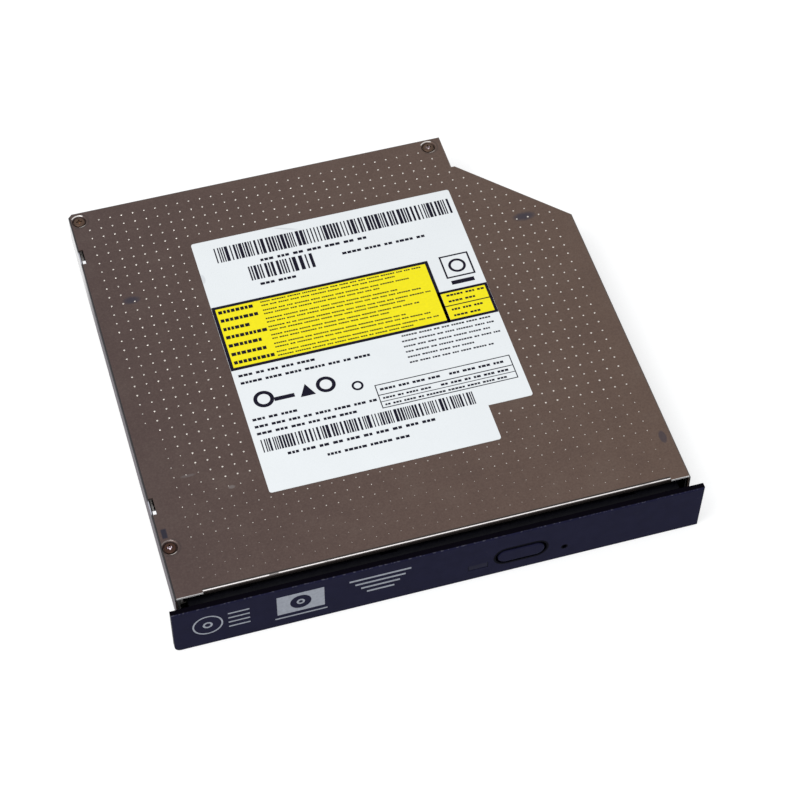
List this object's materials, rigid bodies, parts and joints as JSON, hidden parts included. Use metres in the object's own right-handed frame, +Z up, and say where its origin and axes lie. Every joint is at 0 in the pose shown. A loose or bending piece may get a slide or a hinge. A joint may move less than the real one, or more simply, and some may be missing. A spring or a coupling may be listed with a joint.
{
  "type": "optical_disc_drive",
  "caption": "Slim internal disc writer for a laptop: steel casing with one slanted corner, rating label, dark bezel, and a disc tray that slides out on telescopic rails.",
  "frame": {"origin": "middle of the width on the underside of the base pan, below the front edge of the top cover", "axes": "+X to the right seen from the front, +Y to the rear, +Z up"},
  "size_m": [0.1322, 0.1315, 0.0157],
  "materials": {
    "cover_steel": "satin",
    "base_steel": "satin",
    "screw_steel": "satin",
    "rail_steel": "satin",
    "tray_plastic": "satin",
    "bezel_plastic": "satin",
    "button_plastic": "satin",
    "window_plastic": "gloss",
    "board_laminate": "satin",
    "chip_plastic": "matte",
    "socket_plastic": "matte",
    "lamp_resin": "gloss",
    "cable_film": "satin",
    "insulator_film": "satin",
    "zinc_casting": "matte",
    "bearing_metal": "satin",
    "coil_copper": "gloss",
    "magnet_ferrite": "matte",
    "turntable_plastic": "satin",
    "soft_rubber": "matte",
    "contact_metal": "gloss",
    "lens_glass": "gloss",
    "spring_steel": "satin",
    "lever_plastic": "satin",
    "label_paper": "satin",
    "label_yellow": "satin",
    "label_ink": "satin",
    "bezel_ink": "satin"
  },
  "bodies": {
    "case": {"top_cover": "cover_steel", "base_pan": "base_steel", "cover_screws": "screw_steel", "left_guide": "rail_steel", "right_guide": "rail_steel", "lock_stud": "screw_steel", "main_board": "board_laminate", "board_screws": "screw_steel", "insulator": "insulator_film", "controller_chip": "chip_plastic", "board_chips": "chip_plastic", "rear_connector": "chip_plastic", "connector_contacts": "contact_metal", "ribbon_socket": "socket_plastic", "rating_label": "label_paper", "label_fields": "label_yellow", "label_print": "label_ink"},
    "rails": {"left_rail": "rail_steel", "right_rail": "rail_steel"},
    "tray": {"tray": "tray_plastic", "front_bezel": "bezel_plastic", "indicator_window": "window_plastic", "front_board": "board_laminate", "eject_switch": "chip_plastic", "indicator_lamp": "lamp_resin", "lock_solenoid": "base_steel", "eject_plunger": "lever_plastic", "eject_spring": "spring_steel", "relay_board": "board_laminate", "tray_ribbon": "cable_film", "bezel_print": "bezel_ink", "traverse_chassis": "zinc_casting", "traverse_cover": "base_steel", "dampers": "soft_rubber", "damper_screws": "screw_steel", "motor_base": "base_steel", "spindle_flex": "cable_film", "spindle_bearing": "bearing_metal", "stator": "coil_copper", "guide_shafts": "rail_steel", "feed_motor": "rail_steel"},
    "button": {"eject_button": "button_plastic"},
    "spindle": {"turntable": "turntable_plastic", "turntable_pad": "soft_rubber", "rotor": "rail_steel", "rotor_magnet": "magnet_ferrite"},
    "claw_1": {"disc_claw_1": "turntable_plastic"},
    "claw_2": {"disc_claw_2": "turntable_plastic"},
    "claw_3": {"disc_claw_3": "turntable_plastic"},
    "pickup": {"pickup_sled": "zinc_casting", "drive_nut": "lever_plastic", "actuator_yoke": "magnet_ferrite"},
    "lens": {"lens_holder": "turntable_plastic", "objective_lens": "lens_glass"},
    "screw": {"lead_screw": "rail_steel"},
    "lever": {"lock_lever": "lever_plastic"}
  },
  "joints": [
    {"name": "tray_slide", "type": "slide", "parent": "case", "child": "tray", "axis": [0, -1, 0], "range_m": [0, 0.122], "deforming": ["tray_ribbon"]},
    {"name": "rails_slide", "type": "slide", "parent": "case", "child": "rails", "axis": [0, -1, 0], "range_m": [0, 0.061]},
    {"name": "button_press", "type": "slide", "parent": "tray", "child": "button", "axis": [0, 1, 0], "range_m": [0, 0.0006], "stiffness_N_per_m": 500},
    {"name": "turntable_spin", "type": "hinge", "parent": "tray", "child": "spindle", "pos_m": [0, 0.0627, 0.0075], "axis": [0, 0, 1], "continuous": true},
    {"name": "claw_press_1", "type": "slide", "parent": "spindle", "child": "claw_1", "axis": [0.7071, 0.7071, 0], "range_m": [0, 0.0007], "stiffness_N_per_m": 100},
    {"name": "claw_press_2", "type": "slide", "parent": "spindle", "child": "claw_2", "axis": [-0.9659, 0.2588, 0], "range_m": [0, 0.0007], "stiffness_N_per_m": 100},
    {"name": "claw_press_3", "type": "slide", "parent": "spindle", "child": "claw_3", "axis": [0.2588, -0.9659, 0], "range_m": [0, 0.0007], "stiffness_N_per_m": 100},
    {"name": "sled_slide", "type": "slide", "parent": "tray", "child": "pickup", "axis": [-0.7071, -0.7071, 0], "range_m": [0, 0.0345]},
    {"name": "screw_turn", "type": "hinge", "parent": "tray", "child": "screw", "pos_m": [-0.00962, 0.02989, 0.0042], "axis": [-0.7071, -0.7071, 0], "range_deg": [0, 4145]},
    {"name": "lens_focus", "type": "slide", "parent": "pickup", "child": "lens", "axis": [0, 0, 1], "range_m": [-0.0003, 0.0005], "stiffness_N_per_m": 20},
    {"name": "lock_swing", "type": "hinge", "parent": "tray", "child": "lever", "pos_m": [0.027, 0.024, 0.003], "axis": [0, 0, 1], "range_deg": [-20, 0]}
  ],
  "couplings": [
    {"joint": "rails_slide", "follows": "tray_slide", "ratio": 0.5},
    {"joint": "screw_turn", "follows": "sled_slide", "rad_per_m": 2094.4}
  ]
}
